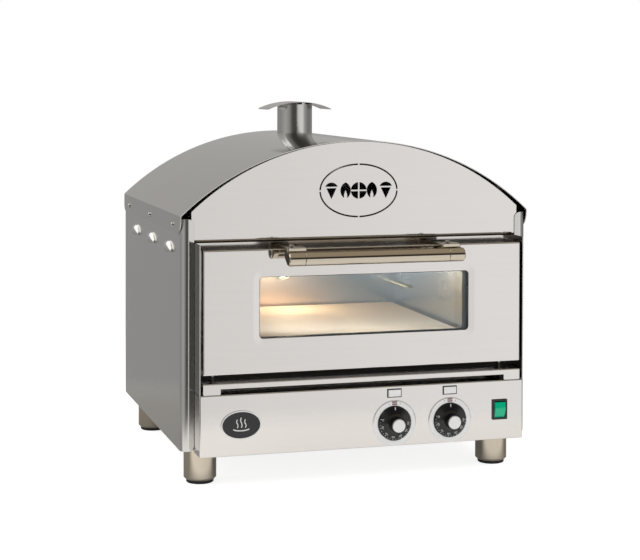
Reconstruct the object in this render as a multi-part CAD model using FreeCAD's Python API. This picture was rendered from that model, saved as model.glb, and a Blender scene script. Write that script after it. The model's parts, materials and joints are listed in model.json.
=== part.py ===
import FreeCAD, Part
import math
import os

# Countertop pizza oven, millimetres.  X runs left to right seen from the front, Z is up.
# While a piece is built its y is the depth behind the face of the control panel.
# save() then moves it forward, so that the origin is the bottom centre of the whole object.

V = FreeCAD.Vector

# ---- driving dimensions ----
CASE_HALF = 282.0            # outside of a side panel
CASE_REAR = 537.2            # depth of the rear panel's inner face
SHEET = 1.2                  # casing sheet
FRONT_BOX_HALF = 261.5       # control panel and cheeks
SURROUND = 40.0              # depth of the door surround's face
CANOPY_HALF = 283.25
CANOPY_RADIUS = 413.0
CANOPY_TOP = 528.0
CANOPY_FRONT = 36.5
CANOPY_REAR = 541.25
CANOPY_SKIRT = 386.0         # lower edge of the canopy's side flanges
PANEL_LOW, PANEL_HIGH = 55.2, 148.8
RAIL_LOW, RAIL_HIGH = 157.0, 166.0
DOOR_HALF = 256.25
DOOR_LOW, DOOR_HIGH = 178.3, 366.5
DOOR_DEEP = 35.0
WINDOW_HALF = 169.0
WINDOW_LOW, WINDOW_HIGH = 230.9, 324.5
HINGE_DEPTH, HINGE_HEIGHT = 18.0, 190.0
PIN_RADIUS, PIN_INNER = 3.0, 222.0
RUNNING_GAP = 0.05           # radial clearance of the running fits
HINGE_PLATE_X = 234.5
HINGE_FOOT_LOW = 166.4
HANDLE_RADIUS = 10.4
HANDLE_HALF = 139.3
HANDLE_DEPTH, HANDLE_HEIGHT = -53.8, 356.0
MOUTH_HALF = 205.0           # oven mouth and chamber
MOUTH_LOW, MOUTH_HIGH = 210.0, 331.0
CHAMBER_LOW, CHAMBER_HIGH = 186.0, 333.0
CHAMBER_REAR = 460.0
WOOL_LOW = 145.0             # underside of the insulation
STONE_HALF = 195.0
STONE_TOP, STONE_THICK = 215.0, 15.0
DIAL_XS = (46.5, 138.0)
DIAL_HEIGHT = 91.0
SHAFT_RADIUS = 3.0
PILOT_HEIGHT = 137.6
SWITCH_X, SWITCH_HEIGHT = 222.0, 102.8
ROCKER_PIVOT = 5.0           # depth of the rocker's pivot
ROCKER_REST_TILT = 8.0       # degrees, bottom pressed in
BADGE_X, BADGE_HEIGHT = -197.5, 102.1
LEG_X, LEG_DEPTHS = 242.5, (84.7, 479.8)
LEG_RADIUS = 25.4
BASE_LOW = 57.7
FLUE_RADIUS, FLUE_DEPTH = 31.0, 412.5
FLUE_LOW, FLUE_TOP = 508.0, 579.0
SIGN_HEIGHT = 450.2          # centre of the cut-out sign

# The foremost point is the handle's front and the rearmost is the canopy's rear edge.
MID_DEPTH = (HANDLE_DEPTH - HANDLE_RADIUS + CANOPY_REAR) / 2


# ---- building blocks ----
def box(x0, x1, y0, y1, z0, z1):
    return Part.makeBox(x1 - x0, y1 - y0, z1 - z0, V(x0, y0, z0))


def rod_x(x0, x1, y, z, radius):
    return Part.makeCylinder(radius, x1 - x0, V(x0, y, z), V(1, 0, 0))


def rod_y(y0, y1, x, z, radius):
    return Part.makeCylinder(radius, y1 - y0, V(x, y0, z), V(0, 1, 0))


def rod_z(z0, z1, x, y, radius):
    return Part.makeCylinder(radius, z1 - z0, V(x, y, z0), V(0, 0, 1))


def join(*shapes):
    return shapes[0].multiFuse(list(shapes[1:])).removeSplitter()


def prism_x(points, x0, x1):
    """Extrude a (y, z) outline along X."""
    wire = Part.makePolygon([V(x0, y, z) for y, z in points + points[:1]])
    return Part.Face(wire).extrude(V(x1 - x0, 0, 0))


def prism_y(points, y0, y1):
    """Extrude an (x, z) outline along Y."""
    wire = Part.makePolygon([V(x, y0, z) for x, z in points + points[:1]])
    return Part.Face(wire).extrude(V(0, y1 - y0, 0))


def plate_wire(half_width, z0, z1, y, radius):
    """Rounded rectangle standing in the plane at depth y, centred on X = 0."""
    slab = Part.Face(Part.makePolygon([
        V(-half_width, y, z0), V(half_width, y, z0), V(half_width, y, z1), V(-half_width, y, z1),
        V(-half_width, y, z0)])).extrude(V(0, 1, 0))
    corners = [e for e in slab.Edges if abs(e.Vertexes[0].Y - e.Vertexes[-1].Y) > 0.5]
    rounded = slab.makeFillet(radius, corners)
    return [f for f in rounded.Faces if abs(f.CenterOfMass.y - y) < 1e-6][0].OuterWire


def plate(half_width, z0, z1, y0, y1, radius):
    """Upright rounded plate centred on X = 0."""
    return Part.Face(plate_wire(half_width, z0, z1, y0, radius)).extrude(V(0, y1 - y0, 0))


def ring_plate(outer, inner, y0, y1):
    """Upright frame; outer and inner are (half width, z0, z1, corner radius)."""
    hole = plate(inner[0], inner[1], inner[2], y0 - 1, y1 + 1, inner[3])
    return plate(outer[0], outer[1], outer[2], y0, y1, outer[3]).cut(hole)


def oval(y0, y1, x, z, half_width, half_height):
    curve = Part.Ellipse(V(0, 0, 0), half_width, half_height).toShape()
    face = Part.Face(Part.Wire([curve]))
    face.rotate(V(0, 0, 0), V(1, 0, 0), 90)
    face.translate(V(x, y0, z))
    return face.extrude(V(0, y1 - y0, 0))


def soften(shape, radius, chosen):
    """Fillet the edges for which chosen(edge) holds."""
    return shape.makeFillet(radius, [e for e in shape.Edges if chosen(e)])


def runs_along(edge, axis):
    """True for a straight edge parallel to the named axis."""
    if len(edge.Vertexes) < 2:
        return False
    a, b = edge.Vertexes[0].Point, edge.Vertexes[1].Point
    span = b - a
    others = [abs(getattr(span, n)) for n in "xyz" if n != axis]
    return max(others) < 1e-6 and abs(getattr(span, axis)) > 1e-6


def mirrored(shape):
    return shape.mirror(V(0, 0, 0), V(1, 0, 0))


def both_sides(shape):
    return Part.makeCompound([shape, mirrored(shape)])


def group(shapes):
    return Part.makeCompound(list(shapes))


def bent_path(points, radii):
    """Straight runs through points, each inner corner rounded to its radius."""
    edges = []
    start = points[0]
    for before, corner, after, radius in zip(points, points[1:], points[2:], radii):
        into = (before - corner).normalize()
        out = (after - corner).normalize()
        half = into.getAngle(out) / 2
        reach = radius / math.tan(half)
        middle = corner + (into + out).normalize() * (radius / math.sin(half) - radius)
        first, last = corner + into * reach, corner + out * reach
        if (first - start).Length > 1e-6:
            edges.append(Part.makeLine(start, first))
        edges.append(Part.Arc(first, middle, last).toShape())
        start = last
    edges.append(Part.makeLine(start, points[-1]))
    return Part.Wire(edges)


def bent_sheet(points, radii, thickness, run):
    """Folded sheet: the path is one face of the sheet, run is the extrusion."""
    return bent_path(points, radii).makeOffset2D(thickness, 0, True, True, False).extrude(run)


def tube(points, radii, radius):
    """Round rod or tube along a bent path."""
    path = bent_path(points, radii)
    heading = (points[1] - points[0]).normalize()
    section = Part.Wire([Part.makeCircle(radius, points[0], heading)])
    return path.makePipeShell([section], True, False)


def pan(half_width, z0, z1, y0, y1, corner):
    """Sheet tray standing on edge, open at the back, with rounded front edges."""
    outer = box(-half_width, half_width, y0, y1, z0, z1)
    outer = soften(outer, corner, lambda e: runs_along(e, "y") or
                   (abs(e.CenterOfMass.y - y0) < 1e-6))
    inner = box(-half_width + SHEET, half_width - SHEET, y0 + SHEET, y1 + 1,
                z0 + SHEET, z1 - SHEET)
    inner = soften(inner, max(corner - SHEET, 0.5), lambda e: runs_along(e, "y"))
    return outer.cut(inner)


def arch_block(half_width, radius, top, z_low, y0, y1):
    """Solid under a circular arc, with upright sides."""
    centre = top - radius
    shoulder = centre + math.sqrt(radius ** 2 - half_width ** 2)
    left, right = V(-half_width, y0, shoulder), V(half_width, y0, shoulder)
    arc = Part.Arc(left, V(0, y0, top), right).toShape()
    sides = Part.makePolygon([right, V(half_width, y0, z_low), V(-half_width, y0, z_low), left])
    return Part.Face(Part.Wire([arc] + sides.Edges)).extrude(V(0, y1 - y0, 0))


def pan_head(at, way, head_radius, head_high, shank_radius, shank_long):
    """Screw with a domed head; way points from the seat out of the head."""
    head = Part.makeCylinder(head_radius, head_high, at, way)
    rim = [e for e in head.Edges
           if len(e.Vertexes) == 1 and (e.CenterOfMass - at).dot(way) > head_high / 2]
    head = head.makeFillet(head_high * 0.45, rim)
    shank = Part.makeCylinder(shank_radius, shank_long, at - way * shank_long, way)
    return join(head, shank)


def save(name, shape):
    """Write one node, moved so that the origin is the object's bottom centre."""
    placed = shape.copy()
    placed.translate(V(0, -MID_DEPTH, 0))
    placed.exportStep("parts/" + name + ".step")


# ---- casing ----
CANOPY_SCREW_DEPTHS = (97.9, 291.0, 486.0)
CANOPY_SCREW_HEIGHT = 397.8
SCREW_HOLE = 2.1
FLANGE_FRONT = 37.4
FLANGE_EDGE = 262.0
SIDE_HIGH = 411.0
LOUVRE_DEPTHS = (132.0, 277.0, 422.0)
LOUVRE_LOW = 354.5           # open lower edge
LOUVRE_OUT, LOUVRE_HALF, LOUVRE_HIGH = 9.1, 28.0, 17.0


def louvre_bump(grow):
    """Quarter of an ellipsoid standing out of the left side panel, open downwards."""
    unit, up = 10.0, V(0, 0, 1)
    quarter = Part.makeSphere(unit, V(0, 0, 0), up, 0, 90, 180)
    quarter.rotate(V(0, 0, 0), up, 90)
    stretch = FreeCAD.Matrix()
    stretch.scale((LOUVRE_OUT + grow) / unit, (LOUVRE_HALF + grow) / unit,
                  (LOUVRE_HIGH + grow) / unit)
    return quarter.transformGeometry(stretch)


def side_panel():
    """Left side: bullnose and flange in front, return flange at the rear, three louvres."""
    over_bend, bullnose, rear_bend, rear_flange = 1.4, 12.0, 2.0, 17.0
    path = [V(-FLANGE_EDGE, FLANGE_FRONT, BASE_LOW),
            V(-CASE_HALF, FLANGE_FRONT - over_bend, BASE_LOW),
            V(-CASE_HALF, CASE_REAR, BASE_LOW), V(-CASE_HALF + rear_flange, CASE_REAR, BASE_LOW)]
    panel = bent_sheet(path, [bullnose, rear_bend], SHEET, V(0, 0, SIDE_HIGH - BASE_LOW))
    free_edge = -FLANGE_EDGE - SHEET
    panel = soften(panel, 9, lambda e: e.Length < 2 * SHEET and
                   e.CenterOfMass.x > free_edge and e.CenterOfMass.y < FLANGE_FRONT + 2 * SHEET)
    for depth in LOUVRE_DEPTHS:
        seat = V(-CASE_HALF + SHEET / 2, depth, LOUVRE_LOW)
        shell = louvre_bump(0)
        hollow = join(louvre_bump(-1), mirrored(louvre_bump(-1)))
        shell.translate(seat)
        hollow.translate(seat)
        panel = panel.fuse(shell).cut(hollow)
    for depth in CANOPY_SCREW_DEPTHS:
        panel = panel.cut(rod_x(-CASE_HALF - 1, -CASE_HALF + 2, depth, CANOPY_SCREW_HEIGHT,
                                SCREW_HOLE))
    for x, z in rear_screw_places():
        panel = panel.cut(rod_y(CASE_REAR - 3, CASE_REAR + 1, x, z, SCREW_HOLE))
    return panel


def canopy():
    """Arched roof sheet whose flanges lap over the side panels."""
    outer = arch_block(CANOPY_HALF, CANOPY_RADIUS, CANOPY_TOP, CANOPY_SKIRT,
                       CANOPY_FRONT, CANOPY_REAR)
    outer = soften(outer, 3, lambda e: runs_along(e, "y") and e.CenterOfMass.z > CANOPY_SKIRT + 5)
    inner = arch_block(CANOPY_HALF - SHEET, CANOPY_RADIUS - SHEET, CANOPY_TOP - SHEET,
                       CANOPY_SKIRT - 20, CANOPY_FRONT - 1, CANOPY_REAR + 1)
    inner = soften(inner, 2, lambda e: runs_along(e, "y") and e.CenterOfMass.z > CANOPY_SKIRT + 5)
    sheet = outer.cut(inner)
    for radius, depth in ((26, CANOPY_FRONT), (12, CANOPY_REAR)):
        sheet = soften(sheet, radius, lambda e: runs_along(e, "x") and
                       abs(e.CenterOfMass.z - CANOPY_SKIRT) < 0.01 and
                       abs(e.CenterOfMass.y - depth) < 0.01)
    sheet = sheet.cut(rod_z(FLUE_LOW, CANOPY_TOP + 1, 0, FLUE_DEPTH, FLUE_RADIUS + 0.2))
    for depth in CANOPY_SCREW_DEPTHS:
        sheet = sheet.cut(rod_x(-CANOPY_HALF - 1, CANOPY_HALF + 1, depth, CANOPY_SCREW_HEIGHT,
                                SCREW_HOLE))
    return sheet


def casing_screws():
    """Three screws a side through the canopy's flange, four a side through the rear panel."""
    sizes = (3.6, 2.4, 2.0, 6.0)
    left = [pan_head(V(-CANOPY_HALF, depth, CANOPY_SCREW_HEIGHT), V(-1, 0, 0), *sizes)
            for depth in CANOPY_SCREW_DEPTHS]
    rear = [pan_head(V(x, CASE_REAR + SHEET, z), V(0, 1, 0), *sizes)
            for x, z in rear_screw_places()]
    return group([both_sides(screw) for screw in left] + rear)


ICON_TOP, ICON_LOW = 12.8, -12.8
BRIDGE = 1.3                 # half width of the metal left between cut-outs
CUT_FRONT, CUT_REAR = 30.0, 60.0


def cut_face(edges):
    """Cutter for the sign from a closed outline in the plane y = CUT_FRONT."""
    return Part.Face(Part.Wire(edges)).extrude(V(0, CUT_REAR - CUT_FRONT, 0))


def slice_icon(x):
    """Pizza slice, point down, with its crust across the top."""
    crust_low, half_wide = 6.5, 10.0
    wedge_half, wedge_high = half_wide - 2, crust_low - 2 * BRIDGE
    wedge = prism_y([(x - wedge_half, wedge_high), (x + wedge_half, wedge_high), (x, ICON_LOW)],
                    CUT_FRONT, CUT_REAR)
    left, right = V(x - half_wide, CUT_FRONT, crust_low), V(x + half_wide, CUT_FRONT, crust_low)
    arc = Part.Arc(left, V(x, CUT_FRONT, ICON_TOP), right).toShape()
    return [wedge, cut_face([arc, Part.makeLine(right, left)])]


def flame_icon(x):
    """Flame with an inner tongue left as metal, joined at its base."""
    half_wide, belly, tongue_half, tongue_shoulder, tongue_top = 7.8, -4.0, 2.6, -6.0, 1.0
    top, low = V(x, CUT_FRONT, ICON_TOP), V(x, CUT_FRONT, ICON_LOW)
    left = Part.Arc(top, V(x - half_wide, CUT_FRONT, belly), low).toShape()
    right = Part.Arc(low, V(x + half_wide, CUT_FRONT, belly), top).toShape()
    tongue = prism_y([(x - tongue_half, ICON_LOW - 1), (x - tongue_half, tongue_shoulder),
                      (x, tongue_top), (x + tongue_half, tongue_shoulder),
                      (x + tongue_half, ICON_LOW - 1)], CUT_FRONT - 1, CUT_REAR + 1)
    return [cut_face([left, right]).cut(tongue)]


def pizza_icon(x):
    """Round pizza cut in four, the cuts left as metal bridges."""
    disc = rod_y(CUT_FRONT, CUT_REAR, x, 0, ICON_TOP)
    return [disc.cut(cross_bars(x, ICON_TOP + 1, ICON_TOP + 1))]


def cross_bars(x, half_wide, half_high):
    """Upright and level bars left as metal."""
    front, rear = CUT_FRONT - 1, CUT_REAR + 1
    return join(box(x - BRIDGE, x + BRIDGE, front, rear, -half_high, half_high),
                box(x - half_wide, x + half_wide, front, rear, -BRIDGE, BRIDGE))


def sign_cutters():
    """Stencil sign: an oval line in four arcs around a row of five pictures."""
    half_wide, half_high, line = 64.0, 42.0, 2.2
    ring = oval(CUT_FRONT, CUT_REAR, 0, 0, half_wide, half_high)
    ring = ring.cut(oval(CUT_FRONT - 1, CUT_REAR + 1, 0, 0, half_wide - line, half_high - line))
    ring = ring.cut(cross_bars(0, half_wide + 1, half_high + 1))
    icons = pizza_icon(0)
    for side in (-1, 1):
        icons += flame_icon(side * 21.5) + slice_icon(side * 44.5)
    cutters = group([ring] + icons)
    cutters.translate(V(0, 0, SIGN_HEIGHT))
    return cutters


def arch_panel():
    """Arched front panel under the canopy, its lower edge bent back."""
    half, low, bend, return_deep = 266.0, 375.0, 4.5, 14.0
    face_front = FLANGE_FRONT + SHEET
    crown_radius = 390.5
    path = [V(0, face_front, CANOPY_TOP + 1), V(0, face_front, low),
            V(0, face_front + return_deep, low)]
    sheet = bent_sheet(path, [bend], -SHEET, V(half, 0, 0))
    sheet = sheet.fuse(mirrored(sheet)).removeSplitter()
    under = arch_block(half, crown_radius, CANOPY_TOP - SHEET - 0.4, low - 5,
                       face_front - 1, face_front + return_deep + 1)
    return sheet.common(under).cut(sign_cutters())


def rear_panel():
    """Arched sheet closing the back, with vent slots and the inlet's cut-out."""
    front, back = CASE_REAR, CASE_REAR + SHEET
    sheet = arch_block(CASE_HALF - 1.5, CANOPY_RADIUS - SHEET - 0.4, CANOPY_TOP - SHEET - 0.4,
                       BASE_LOW + 1.5, front, back)
    slot_half, pitch = 17.0, 50.0
    for column in range(-1, 5):
        for z in (90, 106, 122):
            x = column * pitch
            slot = join(box(x - slot_half, x + slot_half, front - 1, back + 1, z - 2.5, z + 2.5),
                        rod_y(front - 1, back + 1, x - slot_half, z, 2.5),
                        rod_y(front - 1, back + 1, x + slot_half, z, 2.5))
            sheet = sheet.cut(slot)
    sheet = sheet.cut(box(INLET_X - INLET_HALF, INLET_X + INLET_HALF, front - 1, back + 1,
                          INLET_LOW, INLET_HIGH))
    for x, z in rear_screw_places():
        sheet = sheet.cut(rod_y(front - 1, back + 1, x, z, SCREW_HOLE))
    return sheet


def rear_screw_places():
    return [(side * (CASE_HALF - 10), z) for side in (-1, 1) for z in (80, 180, 280, 380)]


def base_pan():
    """Floor tray with upturned edges, a row of air slots and holes for the leg bolts."""
    half, rim = 279.5, 12.0
    front, back = SURROUND + 5, CASE_REAR - SHEET - 0.6
    tray = box(-half, half, front, back, BASE_LOW, BASE_LOW + rim)
    tray = tray.cut(box(-half + SHEET, half - SHEET, front + SHEET, back - SHEET,
                        BASE_LOW + SHEET, BASE_LOW + rim + 1))
    slot_half, slot_long = 3.0, 60.0
    for x in range(-120, 121, 40):
        for depth in (200, 300):
            tray = tray.cut(box(x - slot_half, x + slot_half, depth, depth + slot_long,
                                BASE_LOW - 1, BASE_LOW + 3))
    for x, depth in leg_places():
        tray = tray.cut(rod_z(BASE_LOW - 1, BASE_LOW + 3, x, depth, LEG_BOLT_RADIUS + 0.2))
    return tray


# ---- legs ----
LEG_BOLT_RADIUS, LEG_BOLT_LONG = 4.0, 18.0
PAD_HIGH, PAD_RADIUS = 5.0, 21.4
PAD_SPIGOT, SPIGOT_HIGH = 10.0, 11.0


def leg_places():
    return [(x, depth) for x in (-LEG_X, LEG_X) for depth in LEG_DEPTHS]


def leg_sleeves():
    """Round legs, chamfered at the foot, drilled for the bolt above and the pad's spigot below."""
    sleeves = []
    for x, depth in leg_places():
        sleeve = rod_z(PAD_HIGH, BASE_LOW, x, depth, LEG_RADIUS)
        rim = [e for e in sleeve.Edges if len(e.Vertexes) == 1 and e.CenterOfMass.z < PAD_HIGH + 1]
        sleeve = sleeve.makeChamfer(3.2, rim)
        sleeve = sleeve.cut(rod_z(PAD_HIGH - 1, PAD_HIGH + SPIGOT_HIGH + 1, x, depth, PAD_SPIGOT))
        sleeves.append(sleeve.cut(rod_z(BASE_LOW - LEG_BOLT_LONG - 2, BASE_LOW + 1, x, depth,
                                        LEG_BOLT_RADIUS)))
    return group(sleeves)


def foot_pads():
    """Rubber pads pushed into the legs."""
    pads = []
    for x, depth in leg_places():
        pad = rod_z(0, PAD_HIGH, x, depth, PAD_RADIUS)
        rim = [e for e in pad.Edges if len(e.Vertexes) == 1 and e.CenterOfMass.z < 1]
        pads.append(join(pad.makeChamfer(1.2, rim),
                         rod_z(1, PAD_HIGH + SPIGOT_HIGH, x, depth, PAD_SPIGOT)))
    return group(pads)


def leg_bolts():
    """One bolt a leg, from inside the base pan."""
    seat, head_high, head_radius = BASE_LOW + SHEET, 5.3, 7.5
    return group(join(rod_z(BASE_LOW - LEG_BOLT_LONG, seat, x, depth, LEG_BOLT_RADIUS),
                      rod_z(seat, seat + head_high, x, depth, head_radius))
                 for x, depth in leg_places())


# ---- flue ----
HAT_HALF, HAT_DEEP, HAT_RADIUS, HAT_TOP = 57.6, 72.0, 140.0, 583.4
HAT_SHEET = 1.2


def flue_pipe():
    """Pipe on the canopy's ridge; its rear half and two front tabs reach up to the hat."""
    wall, reach = 1.5, 40.0
    bore = rod_z(FLUE_LOW - 1, HAT_TOP, 0, FLUE_DEPTH, FLUE_RADIUS - wall)
    tube_wall = rod_z(FLUE_LOW, HAT_TOP, 0, FLUE_DEPTH, FLUE_RADIUS).cut(bore)
    open_top = box(-reach, reach, FLUE_DEPTH - reach, FLUE_DEPTH, FLUE_TOP, HAT_TOP)
    tab_half, tab_turn = 3.5, 15.5
    for turn in (-tab_turn, tab_turn):
        tab = box(-tab_half, tab_half, FLUE_DEPTH - reach, FLUE_DEPTH, FLUE_TOP, HAT_TOP)
        tab.rotate(V(0, FLUE_DEPTH, 0), V(0, 0, 1), turn)
        open_top = open_top.cut(tab)
    under_hat = Part.makeCylinder(HAT_RADIUS - HAT_SHEET, 2 * reach,
                                  V(0, FLUE_DEPTH - reach, HAT_TOP - HAT_RADIUS), V(0, 1, 0))
    return tube_wall.cut(open_top).common(under_hat)


def flue_hat():
    """Rain hat: a rectangular sheet with rounded corners, bent to an arc across the pipe."""
    front, rear = FLUE_DEPTH - HAT_DEEP / 2, FLUE_DEPTH + HAT_DEEP / 2
    centre = V(0, front, HAT_TOP - HAT_RADIUS)
    outer = Part.makeCylinder(HAT_RADIUS, HAT_DEEP, centre, V(0, 1, 0))
    inner = Part.makeCylinder(HAT_RADIUS - HAT_SHEET, HAT_DEEP, centre, V(0, 1, 0))
    outline = box(-HAT_HALF, HAT_HALF, front, rear, CANOPY_TOP, HAT_TOP + 1)
    return outer.cut(inner).common(soften(outline, 3, lambda e: runs_along(e, "z")))


def flue_collar():
    """Flanged ring welded under the canopy around the flue, following the roof's curve."""
    flange_wide, wall, reach = 13.0, 1.5, 100.0
    flange = rod_z(FLUE_LOW, CANOPY_TOP, 0, FLUE_DEPTH, FLUE_RADIUS + flange_wide)
    centre = V(0, FLUE_DEPTH - reach, CANOPY_TOP - CANOPY_RADIUS)
    under_roof = Part.makeCylinder(CANOPY_RADIUS - SHEET, 2 * reach, centre, V(0, 1, 0))
    below = Part.makeCylinder(CANOPY_RADIUS - SHEET - wall, 2 * reach, centre, V(0, 1, 0))
    flange = flange.common(under_roof).cut(below)
    sleeve = rod_z(FLUE_LOW, CANOPY_TOP, 0, FLUE_DEPTH, FLUE_RADIUS + wall).common(under_roof)
    return join(flange, sleeve).cut(rod_z(FLUE_LOW - 1, CANOPY_TOP + 1, 0, FLUE_DEPTH, FLUE_RADIUS))


# ---- front box ----
def door_surround():
    """Flat frame behind the door, with the oven's mouth and slots for the hinge plates."""
    front, back, half, low, high = SURROUND, SURROUND + SHEET, 270.0, 60.0, 374.0
    frame = box(-half, half, front, back, low, high)
    frame = frame.cut(plate(MOUTH_HALF, MOUTH_LOW, MOUTH_HIGH, front - 1, back + 1, 8))
    slot_half, slot_low, slot_high = 2.2, HINGE_FOOT_LOW - 0.6, HINGE_HEIGHT + 7
    for side in (-1, 1):
        x = side * HINGE_PLATE_X
        frame = frame.cut(box(x - slot_half, x + slot_half, front - 1, back + 1,
                              slot_low, slot_high))
    controls_window = box(-60, 250, front - 1, back + 1, 66, 140)
    return frame.cut(controls_window)


def cheek():
    """Thin upright plate beside the door."""
    high = 374.8
    return box(FRONT_BOX_HALF - SHEET, FRONT_BOX_HALF, 0, SURROUND, PANEL_HIGH + 0.4, high)


def sill_rail():
    """Folded rail under the door: two tabs fix it to the surround, two feet stand in front."""
    half, rear, tab_low = 256.0, SURROUND - 0.1, 150.5
    path = [V(-half, rear, RAIL_HIGH), V(-half, 0, RAIL_HIGH), V(-half, 0, RAIL_LOW),
            V(-half, 7, RAIL_LOW)]
    rail = bent_sheet(path, [1.6, 1.6], -SHEET, V(2 * half, 0, 0))
    rail = soften(rail, 4, lambda e: runs_along(e, "z") and e.CenterOfMass.y > 30)
    tab = box(220, 242, rear - SHEET, rear, tab_low, RAIL_HIGH - SHEET / 2)
    foot = box(229, half, 0, SHEET, PANEL_HIGH + 0.3, RAIL_LOW + 2)
    foot = soften(foot, 2, lambda e: runs_along(e, "y") and e.CenterOfMass.z < RAIL_LOW)
    return join(rail, tab, mirrored(tab), foot, mirrored(foot))


def control_panel():
    """Folded front panel with its openings."""
    sheet = pan(FRONT_BOX_HALF, PANEL_LOW, PANEL_HIGH, 0, SURROUND, 1.8)
    bush_radius = 5.2
    for x in DIAL_XS:
        sheet = sheet.cut(rod_y(-1, 3, x, DIAL_HEIGHT, bush_radius))
        sheet = sheet.cut(pilot_box(x, 0.5, -1, 3))
    half_wide, half_high = SWITCH_BODY[0] + 0.1, SWITCH_BODY[1] + 0.1
    return sheet.cut(box(SWITCH_X - half_wide, SWITCH_X + half_wide, -1, 3,
                         SWITCH_HEIGHT - half_high, SWITCH_HEIGHT + half_high))


# ---- oven chamber ----
def oven_liner():
    """Five-sided box behind the mouth; its floor lies below the mouth's lower edge."""
    skin = 1.0
    front = SURROUND + SHEET
    outer = box(-MOUTH_HALF - skin, MOUTH_HALF + skin, front, CHAMBER_REAR + skin,
                CHAMBER_LOW - skin, CHAMBER_HIGH + skin)
    outer = soften(outer, 9, lambda e: runs_along(e, "y"))
    inner = box(-MOUTH_HALF, MOUTH_HALF, front - 1, CHAMBER_REAR, CHAMBER_LOW, CHAMBER_HIGH)
    inner = soften(inner, 8, lambda e: runs_along(e, "y"))
    liner = outer.cut(inner)
    back_out = CHAMBER_REAR + skin + 1
    for x in (-ELEMENT_HALF, ELEMENT_HALF):
        for z in (UPPER_ELEMENT, LOWER_ELEMENT):
            liner = liner.cut(rod_y(CHAMBER_REAR - 1, back_out, x, z, ELEMENT_RADIUS + 0.3))
    for x, z in SENSOR_PLACES:
        liner = liner.cut(rod_y(CHAMBER_REAR - 1, back_out, x, z, 1.3))
    return liner.cut(rod_y(CHAMBER_REAR - 1, back_out, LAMP_X, LAMP_HEIGHT, LAMP_RADIUS - 3))


def insulation():
    """Mineral wool around the liner, open to the front."""
    front, half, rear, high = SURROUND + SHEET, 262.0, CHAMBER_REAR + 45, 372.0
    wool = box(-half, half, front, rear, WOOL_LOW, high)
    liner = box(-MOUTH_HALF - 1, MOUTH_HALF + 1, front - 1, CHAMBER_REAR + 1,
                CHAMBER_LOW - 1, CHAMBER_HIGH + 1)
    wool = wool.cut(liner)
    for side in (-1, 1):
        x = side * HINGE_PLATE_X
        wool = wool.cut(box(x - 10, x + 10, front - 1, front + 20,
                            HINGE_FOOT_LOW - 6, HINGE_HEIGHT + 12))
    back_out = rear + 1
    for x in (-ELEMENT_HALF, ELEMENT_HALF):
        for z in (UPPER_ELEMENT, LOWER_ELEMENT):
            wool = wool.cut(rod_y(CHAMBER_REAR, back_out, x, z, ELEMENT_RADIUS + 1))
    for x, z in SENSOR_PLACES:
        wool = wool.cut(rod_y(CHAMBER_REAR, back_out, x, z, 2.0))
    return wool.cut(rod_y(CHAMBER_REAR, back_out, LAMP_X, LAMP_HEIGHT, LAMP_RADIUS + 1))


def cross_member():
    """Channel that carries the insulated chamber, with a window for the leads."""
    x0, x1, foot = -225.0, 225.0, 40.0
    low, high = BASE_LOW + SHEET, WOOL_LOW
    path = [V(x0, foot, low), V(x0, 0, low), V(x0, 0, high), V(x0, foot, high)]
    member = bent_sheet(path, [2, 2], SHEET, V(x1 - x0, 0, 0))
    lead_window = box(-125, 180, -1, 3, low + 3.5, 96)
    return member.cut(lead_window)


def chassis_members():
    """Front and rear cross members."""
    members = []
    for depth in (130, 400):
        member = cross_member()
        member.translate(V(0, depth, 0))
        members.append(member)
    return group(members)


def pizza_stone():
    front = 55.0
    slab = box(-STONE_HALF, STONE_HALF, front, front + 2 * STONE_HALF,
               STONE_TOP - STONE_THICK, STONE_TOP)
    slab = soften(slab, 6, lambda e: runs_along(e, "z"))
    return slab.makeChamfer(1.2, [e for e in slab.Edges if abs(e.CenterOfMass.z - STONE_TOP) < 0.01])


def stone_rail():
    """Angle along one side of the chamber, under the stone."""
    low, high, front, rear = CHAMBER_LOW, STONE_TOP - STONE_THICK, 60.0, 440.0
    outer, thick, wide = MOUTH_HALF - 10.5, 1.5, 15.5
    upright = box(outer - thick, outer, front, rear, low, high)
    return join(upright, box(outer - wide, outer, front, rear, high - thick, high))


ELEMENT_RADIUS, ELEMENT_HALF = 4.0, 160.0
UPPER_ELEMENT, LOWER_ELEMENT = 322.0, 193.0


def element(height):
    """Tubular heater: two legs from the rear wall, folded back into a three-loop snake."""
    rear, near, far = CHAMBER_REAR + 38, 85.0, 400.0
    xs = (-ELEMENT_HALF, -64, 64, ELEMENT_HALF)
    points = [V(xs[0], rear, height), V(xs[0], near, height), V(xs[1], near, height),
              V(xs[1], far, height), V(xs[2], far, height), V(xs[2], near, height),
              V(xs[3], near, height), V(xs[3], rear, height)]
    return tube(points, [30] * 6, ELEMENT_RADIUS)


def element_clips():
    """Straps that hang the upper heater from the roof, and blocks under the lower one."""
    clips = []
    for x in (-ELEMENT_HALF, ELEMENT_HALF):
        for depth in (150, 350):
            bore = [rod_y(depth - 5, depth + 5, x, height, ELEMENT_RADIUS)
                    for height in (UPPER_ELEMENT, LOWER_ELEMENT)]
            upper = box(x - 6, x + 6, depth - 4, depth + 4, UPPER_ELEMENT - 6, CHAMBER_HIGH)
            lower = box(x - 6, x + 6, depth - 4, depth + 4, CHAMBER_LOW, LOWER_ELEMENT + 5.5)
            clips += [upper.cut(bore[0]), lower.cut(bore[1])]
    return group(clips)


LAMP_X, LAMP_HEIGHT, LAMP_RADIUS = -12.0, 284.5, 24.0


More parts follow.
